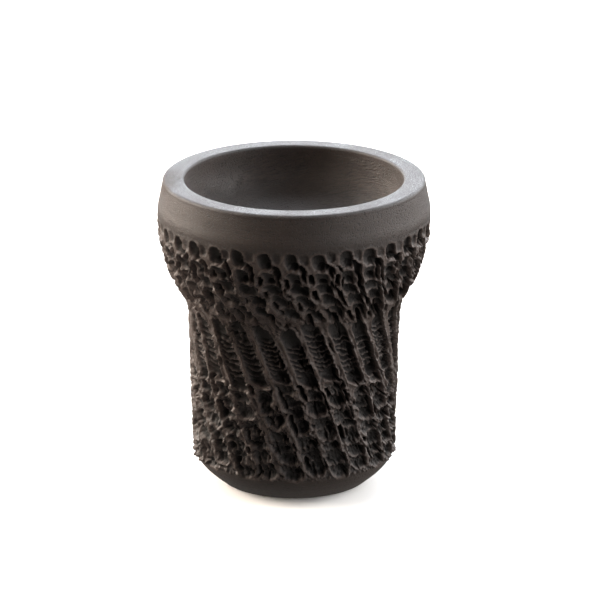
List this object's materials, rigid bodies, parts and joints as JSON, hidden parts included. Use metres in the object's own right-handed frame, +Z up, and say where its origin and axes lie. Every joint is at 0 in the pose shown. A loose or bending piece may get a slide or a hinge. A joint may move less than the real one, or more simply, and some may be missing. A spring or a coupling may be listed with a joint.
{
  "type": "clay pot",
  "caption": "Small thick-rimmed black clay pot: a shallow round bowl on a narrower body carved with scoops and leaning flutes, on a smooth foot.",
  "frame": {"origin": "centre of the standing ring, on the surface the pot stands on", "axes": "+Z up along the pot's turning axis; the pot is round, and -Y is the side it is normally shown from"},
  "size_m": [0.073, 0.073, 0.084],
  "materials": {
    "black_clay": "burnished black fired clay, satin on the turned bands, matt where carved"
  },
  "bodies": {
    "root": {"pot_body": "black_clay"}
  },
  "joints": []
}
